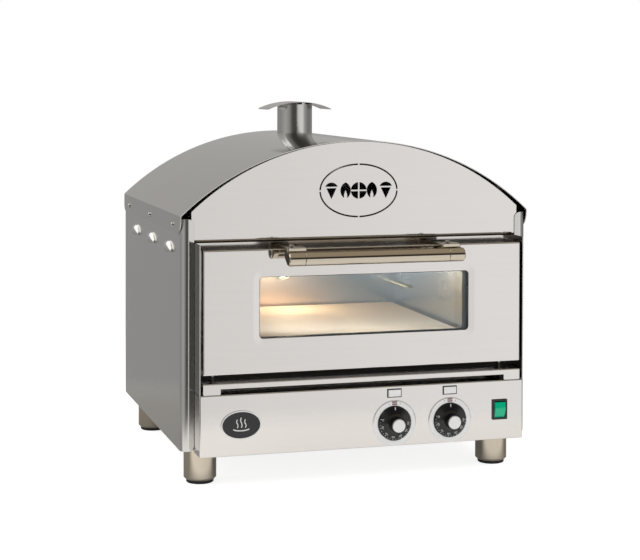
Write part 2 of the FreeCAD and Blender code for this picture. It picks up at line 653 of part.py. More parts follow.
def lamp_lens():
    """Domed glass cover of the oven lamp, spigot through the rear wall."""
    dome = Part.makeSphere(40, V(LAMP_X, CHAMBER_REAR + 28, LAMP_HEIGHT))
    dome = dome.common(rod_y(CHAMBER_REAR - 14, CHAMBER_REAR, LAMP_X, LAMP_HEIGHT, LAMP_RADIUS))
    spigot = rod_y(CHAMBER_REAR - 2, CHAMBER_REAR + 9, LAMP_X, LAMP_HEIGHT, LAMP_RADIUS - 3.2)
    hollow = rod_y(CHAMBER_REAR - 5, CHAMBER_REAR + 10, LAMP_X, LAMP_HEIGHT, LAMP_RADIUS - 6)
    return join(dome, spigot).cut(hollow)


def lamp_holder():
    """Ceramic holder with its bulb, behind the lens."""
    holder = rod_y(CHAMBER_REAR + 9, CHAMBER_REAR + 34, LAMP_X, LAMP_HEIGHT, LAMP_RADIUS - 5)
    bulb = rod_y(CHAMBER_REAR + 2, CHAMBER_REAR + 10, LAMP_X, LAMP_HEIGHT, 8)
    glow = Part.makeSphere(8, V(LAMP_X, CHAMBER_REAR + 2, LAMP_HEIGHT))
    glow = glow.common(rod_y(CHAMBER_REAR - 4, CHAMBER_REAR + 10, LAMP_X, LAMP_HEIGHT, 8))
    return join(holder, bulb, glow)


def door_gasket():
    """Round-section rope seal on the surround, around the mouth."""
    radius = 2.4
    wire = plate_wire(MOUTH_HALF + 9, MOUTH_LOW - 5, MOUTH_HIGH + 9, SURROUND - radius, 14)
    start = wire.Edges[0].Vertexes[0].Point
    way = wire.Edges[0].tangentAt(wire.Edges[0].FirstParameter)
    section = Part.Wire([Part.makeCircle(radius, start, way)])
    return wire.makePipeShell([section], True, False)


# ---- door ----
def hinge_notches():
    """Room in the door for the fixed hinge plates, both sides."""
    half_wide, front, above = 3.0, 8.8, 9.0
    notch = box(HINGE_PLATE_X - half_wide, HINGE_PLATE_X + half_wide, front, DOOR_DEEP + 1,
                DOOR_LOW - 1, HINGE_HEIGHT + above)
    return join(notch, mirrored(notch))


def door_outer_skin():
    """Pressed front of the door: window, shallow surround, vent slots, handle and hinge holes."""
    skin = pan(DOOR_HALF, DOOR_LOW, DOOR_HIGH, 0, DOOR_DEEP - SHEET, 2.0)
    rings = [plate_wire(WINDOW_HALF + edge, WINDOW_LOW - edge, WINDOW_HIGH + edge, depth, radius)
             for edge, depth, radius in ((10.0, -0.01, 14), (1.0, 0.6, 7))]
    recess = Part.makeLoft(rings, True)
    skin = skin.cut(recess)
    skin = skin.cut(plate(WINDOW_HALF, WINDOW_LOW, WINDOW_HIGH, -1, 5, 6))
    pitch, slot_half = 28.0, 6.0
    for step_x in range(-8, 9):
        x = step_x * pitch
        if not BRACKET_INNER - slot_half < abs(x) < BRACKET_OUTER + slot_half:
            skin = skin.cut(box(x - slot_half, x + slot_half, 8, 11, DOOR_HIGH - 3, DOOR_HIGH + 1))
    skin = skin.cut(rod_x(-300, 300, HINGE_DEPTH, HINGE_HEIGHT, PIN_RADIUS))
    return skin.cut(hinge_notches())


OUTER_GLASS = (2.2, 6.2)     # front and rear depth of the outer pane
INNER_GLASS = (28.0, 32.0)


def inner_window(grow, radius):
    """Outline of the door's rear window, wider and lower than the front one."""
    wider = 6.0 + grow
    return WINDOW_HALF + wider, WINDOW_LOW - wider, WINDOW_HIGH + grow, radius


def door_inner_skin():
    """Rear sheet of the door, folded forward around the window."""
    front, back = DOOR_DEEP - SHEET, DOOR_DEEP
    half, edge = DOOR_HALF - 0.4, 0.5
    sheet = plate(half, DOOR_LOW + 0.4, DOOR_HIGH - 0.4, front, back, 2)
    collar = ring_plate(inner_window(edge + SHEET, 7), inner_window(edge, 6),
                        OUTER_GLASS[1] + 0.4, back)
    half, low, high, radius = inner_window(edge, 6)
    sheet = sheet.cut(plate(half, low, high, front - 1, back + 1, radius))
    return join(sheet, collar).cut(hinge_notches())


def outer_glass():
    edge = 9.0
    return plate(WINDOW_HALF + edge, WINDOW_LOW - edge, WINDOW_HIGH + edge, *OUTER_GLASS, 8)


def inner_glass():
    half, low, high, radius = inner_window(-1.8, 4)
    return plate(half, low, high, *INNER_GLASS, radius)


def glazing_seals():
    """Black seals: one in front of and around the outer pane, one around the inner pane."""
    rim = 11.0
    front = ring_plate((WINDOW_HALF + rim, WINDOW_LOW - rim, WINDOW_HIGH + rim, 9),
                       (WINDOW_HALF - 0.6, WINDOW_LOW + 0.6, WINDOW_HIGH - 0.6, 5.5),
                       SHEET, OUTER_GLASS[1])
    front = front.cut(outer_glass())
    rear = ring_plate(inner_window(0.5, 6), inner_window(-4, 4),
                      INNER_GLASS[0] - 1.5, INNER_GLASS[1] + 1.5)
    return group([front, rear.cut(inner_glass())])


def hinge_pin():
    """Right-hand pin, from the door's side flange through the hinge plate."""
    return rod_x(PIN_INNER, DOOR_HALF, HINGE_DEPTH, HINGE_HEIGHT, PIN_RADIUS)


def hinge_block():
    """Block inside the door that holds the pin's inner end."""
    inner, outer = PIN_INNER - 3, HINGE_PLATE_X - 4.5
    block = box(inner, outer, 8, DOOR_DEEP - SHEET, HINGE_HEIGHT - 8, HINGE_HEIGHT + 10)
    return block.cut(rod_x(inner - 1, outer + 1, HINGE_DEPTH, HINGE_HEIGHT, PIN_RADIUS))


def hinge_plate():
    """Fixed plate: eye for the pin, arm back through the surround, foot behind it."""
    thick, eye = 3.0, 7.0
    x0, x1 = HINGE_PLATE_X - thick / 2, HINGE_PLATE_X + thick / 2
    foot_front = SURROUND + SHEET
    lower, fillet = HINGE_FOOT_LOW, 6.0
    web_front = HINGE_DEPTH + 13.5
    arm_low = HINGE_HEIGHT - eye
    outline = [(HINGE_DEPTH, arm_low), (web_front - fillet, arm_low),
               (web_front - fillet * 0.3, arm_low - fillet * 0.3), (web_front, arm_low - fillet),
               (web_front, lower), (foot_front + 3, lower), (foot_front + 3, HINGE_HEIGHT + eye - 1),
               (HINGE_DEPTH, HINGE_HEIGHT + eye)]
    blade = join(prism_x(outline, x0, x1), rod_x(x0, x1, HINGE_DEPTH, HINGE_HEIGHT, eye))
    foot = box(x0 - 7, x1 + 7, foot_front, foot_front + 3, lower, HINGE_HEIGHT + eye - 1)
    hole = rod_x(x0 - 1, x1 + 1, HINGE_DEPTH, HINGE_HEIGHT, PIN_RADIUS + RUNNING_GAP)
    return join(blade, foot).cut(hole)


# ---- handle ----
CAP_LONG = 25.0
SPIGOT_RADIUS, SPIGOT_LONG = 7.0, 12.0
BRACKET_INNER, BRACKET_OUTER = 107.0, 138.5
BRACKET_HIGH = DOOR_HIGH + 5.0
SUPPORT_INNER = 131.0
SUPPORT_THICK = 3.0
BRACKET_SCREW_X, BRACKET_SCREW_DEPTH = 125.0, -20.0
BRACKET_SCREW_RADIUS = 2.1


def handle_bar():
    """Bar, hollow at both ends for the spigots of the end pieces."""
    half = HANDLE_HALF - CAP_LONG - 0.3
    bar = rod_x(-half, half, HANDLE_DEPTH, HANDLE_HEIGHT, HANDLE_RADIUS)
    bar = bar.makeChamfer(0.5, [e for e in bar.Edges if len(e.Vertexes) == 1])
    socket = rod_x(half - SPIGOT_LONG, half, HANDLE_DEPTH, HANDLE_HEIGHT, SPIGOT_RADIUS)
    return bar.cut(socket).cut(mirrored(socket))


def handle_cap():
    """Turned end piece, spigot inside the bar."""
    inner = HANDLE_HALF - CAP_LONG
    cap = rod_x(inner, HANDLE_HALF, HANDLE_DEPTH, HANDLE_HEIGHT, HANDLE_RADIUS)
    rims = [e for e in cap.Edges if len(e.Vertexes) == 1]
    cap = cap.makeChamfer(1.6, [e for e in rims if e.CenterOfMass.x > inner + 1])
    inner_rim = [e for e in cap.Edges
                 if len(e.Vertexes) == 1 and abs(e.CenterOfMass.x - inner) < 0.01]
    cap = cap.makeChamfer(0.5, inner_rim)
    return join(cap, rod_x(inner - SPIGOT_LONG + 0.3, inner + 1, HANDLE_DEPTH, HANDLE_HEIGHT,
                           SPIGOT_RADIUS))


def bracket_screw_hole():
    return rod_z(DOOR_HIGH - 10, BRACKET_HIGH + 1, BRACKET_SCREW_X, BRACKET_SCREW_DEPTH,
                 BRACKET_SCREW_RADIUS)


def handle_bracket():
    """Thick plate welded on the door's top, reaching forward over the bar."""
    front, rear = -45.0, 21.0
    bracket = box(BRACKET_INNER, BRACKET_OUTER, front, rear, DOOR_HIGH, BRACKET_HIGH)
    bracket = soften(bracket, 3, lambda e: runs_along(e, "z"))
    return bracket.cut(bracket_screw_hole())


def handle_support():
    """Foot screwed under the bracket and an upright welded to the back of the bar."""
    rear, foot_low = -11.0, DOOR_HIGH - SUPPORT_THICK
    foot = box(BRACKET_INNER + 5, BRACKET_OUTER - 0.5, -30, rear, foot_low, DOOR_HIGH)
    upright = prism_x([(-30, DOOR_HIGH), (-30, 356), (-44, 347), (HANDLE_DEPTH, 345.6),
                       (HANDLE_DEPTH, 362), (-45, DOOR_HIGH)], SUPPORT_INNER, BRACKET_OUTER - 0.5)
    bar_room = rod_x(100, 145, HANDLE_DEPTH, HANDLE_HEIGHT, HANDLE_RADIUS)
    return join(foot, upright).cut(bar_room).cut(bracket_screw_hole())


def bracket_screw():
    """Domed screw through bracket and support."""
    seat = V(BRACKET_SCREW_X, BRACKET_SCREW_DEPTH, BRACKET_HIGH)
    return pan_head(seat, V(0, 0, 1), 3.6, 3.4, BRACKET_SCREW_RADIUS, BRACKET_HIGH - DOOR_HIGH + 4)


# ---- catches ----
def door_magnet():
    """Round magnet on the surround; it draws the upper corner of the door's inner sheet."""
    x, z, radius, gap = 236.0, 345.0, 8.0, 0.3
    magnet = rod_y(DOOR_DEEP + gap, SURROUND, x, z, radius)
    rim = [e for e in magnet.Edges
           if len(e.Vertexes) == 1 and e.CenterOfMass.y < DOOR_DEEP + gap + 0.1]
    return magnet.makeFillet(0.8, rim)


# ---- controls ----
KNOB_HUB, KNOB_REACH = 12.2, 21.5


def dial_ring(x):
    """Raised ring with a bevelled rim behind the knob."""
    ring = rod_y(-1.6, 0, x, DIAL_HEIGHT, 35.5)
    rim = [e for e in ring.Edges if len(e.Vertexes) == 1 and e.CenterOfMass.y < -1]
    ring = ring.makeChamfer(1.3, rim)
    return ring.cut(rod_y(-3, 1, x, DIAL_HEIGHT, 27.4))


def knob(x):
    """Dial skirt and round hub, turned as one."""
    profile = [(0, -0.6), (26.85, -0.6), (26.85, -3.0), (25.6, -4.6), (KNOB_HUB + 3, -6.4),
               (KNOB_HUB, -9.0), (KNOB_HUB - 0.8, -KNOB_REACH), (0, -KNOB_REACH)]
    outline = Part.makePolygon([V(r, y, 0) for r, y in profile + profile[:1]])
    turned = Part.Face(outline).revolve(V(0, 0, 0), V(0, 1, 0), 360)
    turned.translate(V(x, 0, DIAL_HEIGHT))
    return turned.cut(rod_y(-15, 1, x, DIAL_HEIGHT, SHAFT_RADIUS))


def knob_cap(x):
    """Bright disc on the end of the hub."""
    cap = rod_y(-KNOB_REACH - 2.4, -KNOB_REACH, x, DIAL_HEIGHT, 10.2)
    rim = [e for e in cap.Edges if len(e.Vertexes) == 1 and e.CenterOfMass.y < -KNOB_REACH - 1]
    return cap.makeFillet(1.0, rim)


def knob_shaft(x):
    return rod_y(-15, 14, x, DIAL_HEIGHT, SHAFT_RADIUS)


def thermostat(x):
    """Body behind the panel with a bush for the shaft."""
    body = rod_y(9, 36, x, DIAL_HEIGHT, 21)
    bush = rod_y(SHEET, 9, x, DIAL_HEIGHT, 7)
    nose = rod_y(0.2, SHEET, x, DIAL_HEIGHT, 5.1)
    return join(body, bush, nose).cut(rod_y(-1, 15, x, DIAL_HEIGHT, SHAFT_RADIUS + RUNNING_GAP))


PILOT_WIDE, PILOT_HIGH = 10.0, 5.2     # half width and half height of a pilot lens


def pilot_box(x, grow, front, rear):
    """Box of a pilot lens's size, larger all round by grow."""
    wide, high = PILOT_WIDE + grow, PILOT_HIGH + grow
    return box(x - wide, x + wide, front, rear, PILOT_HEIGHT - high, PILOT_HEIGHT + high)


def pilot_bezel(x):
    """Dark frame of a pilot lamp, body through the panel."""
    frame = join(pilot_box(x, 1.5, -1.2, 0), pilot_box(x, 0.4, -0.5, 14))
    return frame.cut(pilot_box(x, 0, -2, 4))


def pilot_lens(x):
    """Clear lens with upright grooves."""
    lens = pilot_box(x, 0, -2.2, 4)
    pitch, groove_half, groove_rear = 2.2, 0.4, -1.7
    for step in range(-4, 5):
        middle = x + step * pitch
        lens = lens.cut(box(middle - groove_half, middle + groove_half, -3, groove_rear,
                            PILOT_HEIGHT - PILOT_HIGH - 1, PILOT_HEIGHT + PILOT_HIGH + 1))
    return lens


SWITCH_BODY = (10.6, 14.6)   # half width and half height behind the panel
SWITCH_DEEP = 24.0
ROCKER_HALF = 12.2
ROCKER_WIDE = 8.6
PIVOT_RADIUS = 1.2


def switch_bezel():
    """Black frame of the main switch, with bores for the rocker's pivot."""
    x, z = SWITCH_X, SWITCH_HEIGHT
    flange_wide, flange_high = 12.75, 16.0
    flange = box(x - flange_wide, x + flange_wide, -1.8, 0, z - flange_high, z + flange_high)
    flange = soften(flange, 1.2, lambda e: runs_along(e, "y"))
    body = box(x - SWITCH_BODY[0], x + SWITCH_BODY[0], -1, SWITCH_DEEP,
               z - SWITCH_BODY[1], z + SWITCH_BODY[1])
    wide, high = ROCKER_WIDE + 0.4, ROCKER_HALF + 1
    pocket = box(x - wide, x + wide, -3, 14, z - high, z + high)
    bores = rod_x(x - 10.2, x + 10.2, ROCKER_PIVOT, z, PIVOT_RADIUS + RUNNING_GAP)
    return join(flange, body).cut(pocket).cut(bores)


def rocker():
    """Rocker with a ridge across its face, tipped to its on position."""
    outline = [(-1.6, -ROCKER_HALF), (-4.6, 0), (-5.0, 2.2), (-4.6, 4.4), (-1.6, ROCKER_HALF),
               (3.0, ROCKER_HALF - 0.8), (9.5, 4), (9.5, -4), (3.0, -ROCKER_HALF + 0.8)]
    body = prism_x(outline, -ROCKER_WIDE, ROCKER_WIDE)
    pivot = rod_x(-10.1, 10.1, ROCKER_PIVOT, 0, PIVOT_RADIUS)
    turned = join(body, pivot)
    turned.rotate(V(0, ROCKER_PIVOT, 0), V(1, 0, 0), ROCKER_REST_TILT)
    turned.translate(V(SWITCH_X, 0, SWITCH_HEIGHT))
    return turned


def badge_plate():
    return oval(-1.2, 0, BADGE_X, BADGE_HEIGHT, 29.4, 20.0)


def badge_rim():
    """Bright oval rim around the badge."""
    return oval(-1.8, 0, BADGE_X, BADGE_HEIGHT, 31.15, 21.7).cut(
        oval(-3, 1, BADGE_X, BADGE_HEIGHT, 29.4, 20.0))


# ---- electrics ----
SENSOR_PLACES = ((199.0, 300.0), (199.0, 250.0))
INLET_X, INLET_HALF = -150.0, 15.0
INLET_LOW, INLET_HIGH = 85.0, 109.0
INLET_DEEP = 26.0


def sensor_line(index):
    """Thermostat bulb in the chamber on its capillary tube, down to the thermostat."""
    x, z = SENSOR_PLACES[index]
    dial_x = DIAL_XS[index]
    drop = CHAMBER_REAR + 64 - index * 8
    bulb = rod_y(CHAMBER_REAR - 90, CHAMBER_REAR - 6, x, z, 2.6)
    run_height = 80.0 + index * 8
    points = [V(x, CHAMBER_REAR - 10, z), V(x, drop, z), V(x, drop, run_height),
              V(dial_x, drop, run_height), V(dial_x, 36, run_height)]
    return join(bulb, tube(points, [8, 8, 8], 1.0))


def power_inlet():
    """Appliance inlet in the rear panel: a recess for the lead's plug, with three flat contacts."""
    rear, recess_deep = CASE_REAR + SHEET, 18.0
    x, z = INLET_X, (INLET_LOW + INLET_HIGH) / 2
    flange = box(x - 24, x + 24, rear, rear + 2.4, z - 15, z + 15)
    flange = soften(flange, 3, lambda e: runs_along(e, "y"))
    body = box(x - INLET_HALF + 0.1, x + INLET_HALF - 0.1, rear - INLET_DEEP, rear + 1,
               INLET_LOW + 0.1, INLET_HIGH - 0.1)
    recess = box(x - 12, x + 12, rear - recess_deep, rear + 4, z - 8.5, z + 8.5)
    recess = soften(recess, 2, lambda e: runs_along(e, "y"))
    contacts = [box(x + dx - 1, x + dx + 1, rear - recess_deep, rear - 2, z + dz - 3, z + dz + 3)
                for dx, dz in ((-7, -2), (0, 2), (7, -2))]
    return group([join(flange, body).cut(recess)] + contacts)


TERMINAL_XS = (-112.0, -90.0, -68.0)
TERMINAL_DEPTHS = (470.0, 492.0)


def terminal_block():
    """Screw terminals on the base pan."""
    low = BASE_LOW + SHEET
    margin, screw_well = 9.0, 3.0
    middle = sum(TERMINAL_DEPTHS) / 2
    block = box(TERMINAL_XS[0] - margin, TERMINAL_XS[-1] + margin, *TERMINAL_DEPTHS, low, low + 20)
    for x in TERMINAL_XS:
        block = block.cut(rod_z(low + 8, low + 21, x, middle, screw_well))
    return block


def wiring():
    """Three leads from the inlet to the terminals, and three on to the main switch."""
    wire_radius, bend, gap = 1.5, 4.0, 0.1
    low_run = BASE_LOW + SHEET + 7.5
    inlet_height = (INLET_LOW + INLET_HIGH) / 2
    leads = []
    for step, x in enumerate(TERMINAL_XS):
        inlet_x, cross = INLET_X + (step - 1) * 7, TERMINAL_DEPTHS[1] + 5 + step * 5
        inlet_front = CASE_REAR + SHEET - INLET_DEEP
        supply = [V(inlet_x, inlet_front - gap, inlet_height), V(inlet_x, cross, inlet_height),
                  V(inlet_x, cross, low_run), V(x, cross, low_run),
                  V(x, TERMINAL_DEPTHS[1] + gap, low_run)]
        switch_x, turn = SWITCH_X + (step - 1) * 7, 60 + step * 7
        onward = [V(x, TERMINAL_DEPTHS[0] - gap, low_run), V(x, turn, low_run),
                  V(switch_x, turn, low_run), V(switch_x, turn, SWITCH_HEIGHT),
                  V(switch_x, SWITCH_DEEP + gap, SWITCH_HEIGHT)]
        short_bend = 2.0
        leads.append(tube(supply, [short_bend] * 3, wire_radius))
        leads.append(tube(onward, [bend] * 3, wire_radius))
    return group(leads)


NODES = {
    "left_side_panel": side_panel,
    "right_side_panel": lambda: mirrored(side_panel()),
    "canopy": canopy,
    "casing_screws": casing_screws,
    "arch_panel": arch_panel,
    "rear_panel": rear_panel,
    "base_pan": base_pan,
    "leg_sleeves": leg_sleeves,
    "foot_pads": foot_pads,
    "leg_bolts": leg_bolts,
    "flue_pipe": flue_pipe,
    "flue_hat": flue_hat,
    "flue_collar": flue_collar,
    "door_surround": door_surround,
    "cheeks": lambda: both_sides(cheek()),
    "sill_rail": sill_rail,
    "control_panel": control_panel,
    "oven_liner": oven_liner,
    "insulation": insulation,
    "chassis_members": chassis_members,
    "pizza_stone": pizza_stone,
    "stone_rails": lambda: both_sides(stone_rail()),
    "upper_element": lambda: element(UPPER_ELEMENT),
    "lower_element": lambda: element(LOWER_ELEMENT),
    "element_clips": element_clips,
    "lamp_lens": lamp_lens,
    "lamp_holder": lamp_holder,
    "door_gasket": door_gasket,
    "door_outer_skin": door_outer_skin,
    "door_inner_skin": door_inner_skin,
    "outer_glass": outer_glass,
    "inner_glass": inner_glass,
    "glazing_seals": glazing_seals,
    "hinge_pins": lambda: both_sides(hinge_pin()),
    "hinge_blocks": lambda: both_sides(hinge_block()),
    "hinge_plates": lambda: both_sides(hinge_plate()),
    "handle_bar": handle_bar,
    "handle_caps": lambda: both_sides(handle_cap()),
    "handle_brackets": lambda: both_sides(handle_bracket()),
    "handle_supports": lambda: both_sides(handle_support()),
    "handle_screws": lambda: both_sides(bracket_screw()),
    "door_magnets": lambda: both_sides(door_magnet()),
    "dial_rings": lambda: group(dial_ring(x) for x in DIAL_XS),
    "left_knob": lambda: knob(DIAL_XS[0]),
    "right_knob": lambda: knob(DIAL_XS[1]),
    "left_knob_cap": lambda: knob_cap(DIAL_XS[0]),
    "right_knob_cap": lambda: knob_cap(DIAL_XS[1]),
    "left_knob_shaft": lambda: knob_shaft(DIAL_XS[0]),
    "right_knob_shaft": lambda: knob_shaft(DIAL_XS[1]),
    "thermostats": lambda: group(thermostat(x) for x in DIAL_XS),
    "sensor_lines": lambda: group(sensor_line(i) for i in range(2)),
    "pilot_bezels": lambda: group(pilot_bezel(x) for x in DIAL_XS),
    "pilot_lenses": lambda: group(pilot_lens(x) for x in DIAL_XS),
    "switch_bezel": switch_bezel,
    "rocker": rocker,
    "badge_plate": badge_plate,
    "badge_rim": badge_rim,
    "power_inlet": power_inlet,
    "terminal_block": terminal_block,
    "wiring": wiring,
}

os.makedirs("parts", exist_ok=True)
for node_name, build in NODES.items():
    save(node_name, build())
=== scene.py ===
import json
import math

import bpy
from mathutils import Matrix, Vector


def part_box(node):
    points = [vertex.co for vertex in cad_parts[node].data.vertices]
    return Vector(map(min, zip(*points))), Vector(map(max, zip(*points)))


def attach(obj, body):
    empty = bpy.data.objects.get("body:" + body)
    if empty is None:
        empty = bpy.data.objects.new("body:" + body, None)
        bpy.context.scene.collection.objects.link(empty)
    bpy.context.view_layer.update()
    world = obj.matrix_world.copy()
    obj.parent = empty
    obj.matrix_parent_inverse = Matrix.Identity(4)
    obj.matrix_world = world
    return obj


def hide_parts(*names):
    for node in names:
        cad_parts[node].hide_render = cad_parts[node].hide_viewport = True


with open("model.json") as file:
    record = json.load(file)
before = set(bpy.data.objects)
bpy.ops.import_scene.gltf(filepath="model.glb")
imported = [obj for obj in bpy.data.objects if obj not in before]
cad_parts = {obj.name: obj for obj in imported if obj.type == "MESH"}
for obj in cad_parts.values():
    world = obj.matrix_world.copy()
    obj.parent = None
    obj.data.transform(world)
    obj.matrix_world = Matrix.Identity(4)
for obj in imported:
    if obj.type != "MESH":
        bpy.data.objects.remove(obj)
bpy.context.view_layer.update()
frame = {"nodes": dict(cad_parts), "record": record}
NODES = frame["nodes"]
RECORD = frame["record"]


# ---- node trees ----
class Nodes:
    """Builds one node tree: each call adds a node and feeds it sockets or plain values."""

    def __init__(self, tree):
        self.tree = tree
        tree.nodes.clear()

    def add(self, kind, inputs=None, **settings):
        node = self.tree.nodes.new("ShaderNode" + kind)
        for key, value in settings.items():
            setattr(node, key, value)
        for key, value in (inputs or {}).items():
            if isinstance(value, bpy.types.NodeSocket):
                self.tree.links.new(value, node.inputs[key])
            else:
                node.inputs[key].default_value = value
        return node

    def math(self, operation, first, second=0.0, third=0.0):
        node = self.add("Math", {0: first, 1: second, 2: third}, operation=operation)
        return node.outputs[0]

    def fit(self, value, low, high, out_low=0.0, out_high=1.0):
        """Value from low..high to out_low..out_high, smoothly and held at the ends."""
        node = self.add("MapRange", {"Value": value, "From Min": low, "From Max": high,
                                     "To Min": out_low, "To Max": out_high},
                        interpolation_type="SMOOTHSTEP")
        return node.outputs["Result"]

    def mix(self, factor, first, second, blend="MIX"):
        node = self.add("Mix", {0: factor, 6: first, 7: second}, data_type="RGBA",
                        blend_type=blend)
        return node.outputs[2]

    def grey(self, level):
        return self.add("CombineXYZ", {0: level, 1: level, 2: level}).outputs[0]

    def ramp(self, value, stops):
        """Colour ramp; stops are (position, (r, g, b))."""
        node = self.add("ValToRGB", {"Fac": value})
        elements = node.color_ramp.elements
        while len(elements) < len(stops):
            elements.new(0.5)
        for element, (position, colour) in zip(elements, stops):
            element.position = position
            element.color = (*colour, 1.0)
        return node.outputs["Color"]

    def noise(self, place, stretch, detail=2.0):
        """Noise whose cells are 1 / stretch metres along x, y and z."""
        moved = self.add("Mapping", {"Vector": place, "Scale": stretch})
        node = self.add("TexNoise", {"Vector": moved.outputs[0], "Scale": 1.0, "Detail": detail})
        return node.outputs["Fac"]


def new_material(name):
    material = bpy.data.materials.new(name)
    material.use_nodes = True
    return material, Nodes(material.node_tree)


def object_place(nodes):
    return nodes.add("TexCoord").outputs["Object"]


def finish_surface(nodes, shader):
    nodes.add("OutputMaterial", {"Surface": shader})


# ---- studio ----
def ring_stops(stops):
    """(azimuth in degrees, brightness, warmth) to ramp stops; azimuth 0 is the front, + is right."""
    result = []
    for azimuth, level, warmth in stops:
        colour = (level * (1 + warmth), level, level * (1 - warmth))
        result.append((0.5 + azimuth / 360, colour))
    return result


# Each ring holds (azimuth in degrees, brightness, warmth).
LOW_RING = ((-180, 0.33, 0.02), (-150, 0.33, 0.02), (-118, 0.33, 0.02), (-75, 0.50, 0.02),
            (-50, 0.36, 0.03), (-34, 0.14, 0.04), (-24, 0.09, 0.05), (-9, 0.08, 0.05),
            (-2, 0.20, 0.04), (5, 0.78, 0.015), (12, 0.89, 0.01), (22, 1.00, 0.005),
            (38, 1.00, 0.005), (54, 0.45, 0.02), (84, 0.22, 0.02), (130, 0.30, 0.02),
            (180, 0.33, 0.02))
MIDDLE_RING = ((-180, 0.43, 0.03), (-140, 0.45, 0.02), (-90, 0.45, 0.02), (-50, 0.15, 0.06),
               (-32, 0.05, 0.08), (32, 0.04, 0.08), (50, 0.10, 0.06), (90, 0.45, 0.03),
               (140, 0.44, 0.02), (180, 0.43, 0.03))
CEILING = (0.43, 0.375, 0.30)
# Elevations in degrees between which each zone gives way to the next.
LOW_TO_MIDDLE = (-1.0, 4.5)
MIDDLE_TO_CEILING = (24.0, 38.0)


def above_horizon(nodes, height, angles):
    """0 below the first of two elevations, 1 above the second; height is a direction's z."""
    low, high = (math.sin(math.radians(angle)) for angle in angles)
    return nodes.fit(height, low, high)


def studio_world():
    """Soft studio as a round of brightness: a low light to the front right, a dark camera
    side, grey sides and back, a dim ceiling.  The camera itself sees plain white."""
    world = bpy.data.worlds.new("studio")
    bpy.context.scene.world = world
    world.use_nodes = True
    nodes = Nodes(world.node_tree)
    way = nodes.add("SeparateXYZ", {0: nodes.add("TexCoord").outputs["Generated"]}).outputs
    forward = nodes.math("MULTIPLY", way[1], -1.0)
    turn = nodes.math("ARCTAN2", way[0], forward)
    turn = nodes.math("MULTIPLY_ADD", turn, 0.5 / math.pi, 0.5)
    low = nodes.ramp(turn, ring_stops(LOW_RING))
    middle = nodes.ramp(turn, ring_stops(MIDDLE_RING))
    colour = nodes.mix(above_horizon(nodes, way[2], LOW_TO_MIDDLE), low, middle)
    upper = above_horizon(nodes, way[2], MIDDLE_TO_CEILING)
    colour = nodes.mix(upper, colour, (*CEILING, 1.0))
    seen = nodes.add("LightPath").outputs["Is Camera Ray"]
    colour = nodes.mix(seen, colour, (1.0, 1.0, 1.0, 1.0))
    light = nodes.add("Background", {"Color": colour, "Strength": 1.0})
    nodes.add("OutputWorld", {"Surface": light.outputs[0]})


def floor_disc(radius, sides):
    """Flat round at z = 0."""
    mesh = bpy.data.meshes.new("studio_floor")
    turns = [2 * math.pi * i / sides for i in range(sides)]
    ring = [(radius * math.cos(turn), radius * math.sin(turn), 0) for turn in turns]
    mesh.from_pydata(ring, [], [tuple(range(sides))])
    disc = bpy.data.objects.new("studio_floor", mesh)
    bpy.context.scene.collection.objects.link(disc)
    return mesh


def floor():
    """Pale round table top that fades to the white background.  In the steel's reflections
    only the part near the oven shows, with a painted shadow beneath and behind the oven."""
    white_from, white_at = 0.55, 1.6          # distances from the oven's middle
    clear_from, clear_at = 0.62, 0.85
    dim_from, dim_at = -0.27, -0.15           # places along Y where the painted shadow in reflections sets in
    paint_level, paint_change = 0.66, -0.3    # change where the reflected floor takes the painted shadow
    glow_level, glow_change, camera_glow = 0.66, -0.55, 0.16
    material, nodes = new_material("studio_floor")
    place = object_place(nodes)
    path = nodes.add("LightPath").outputs
    away = nodes.add("VectorMath", {0: place}, operation="LENGTH").outputs["Value"]
    depth = nodes.add("SeparateXYZ", {0: place}).outputs[1]
    # Painted shadow: glossy rays see the floor darker from the oven's front backwards.
    behind = nodes.math("MULTIPLY", path["Is Glossy Ray"], nodes.fit(depth, dim_from, dim_at))
    tone = nodes.math("MULTIPLY_ADD", behind, paint_change, paint_level)
    paint = nodes.add("BsdfDiffuse", {"Color": nodes.grey(tone)})
    shine = nodes.math("MULTIPLY_ADD", behind, glow_change, glow_level)
    shine = nodes.math("MULTIPLY_ADD", path["Is Camera Ray"], camera_glow, shine)
    glow = nodes.add("Emission", {"Color": (1.0, 1.0, 1.0, 1.0), "Strength": shine})
    near = nodes.add("AddShader", {0: paint.outputs[0], 1: glow.outputs[0]})
    white = nodes.add("Emission", {"Color": (1.0, 1.0, 1.0, 1.0), "Strength": 1.0})
    top = nodes.add("MixShader", {0: nodes.fit(away, white_from, white_at), 1: near.outputs[0],
                                  2: white.outputs[0]})
    far = nodes.fit(away, clear_from, clear_at)
    hidden = nodes.math("MULTIPLY", path["Is Glossy Ray"], far)
    clear = nodes.add("BsdfTransparent")
    both = nodes.add("MixShader", {0: hidden, 1: top.outputs[0], 2: clear.outputs[0]})
    finish_surface(nodes, both.outputs[0])
    floor_disc(radius=6.0, sides=96).materials.append(material)


def area_light(name, place, target, size, power, mirrored, colour=(1.0, 1.0, 1.0)):
    """Rectangular light; mirrored says whether steel and glass reflect it."""
    light = bpy.data.lights.new(name, "AREA")
    light.shape = "RECTANGLE"
    light.size, light.size_y = size
    light.energy = power
    light.color = colour
    holder = bpy.data.objects.new(name, light)
    bpy.context.scene.collection.objects.link(holder)
    holder.location = place
    holder.rotation_euler = (Vector(target) - Vector(place)).to_track_quat("-Z", "Y").to_euler()
    holder.visible_glossy = mirrored
    return holder


def shift_picture(eye, shift):
    """Shift the picture while the camera stands at its own place; moved elsewhere, it looks
    straight ahead."""
    driver = eye.data.driver_add("shift_y").driver
    side = driver.variables.new()
    side.name = "side"
    side.targets[0].id = eye
    side.targets[0].data_path = "location.x"
    driver.expression = f"{shift} if abs(side - {eye.location.x:.4f}) < 0.001 else 0.0"


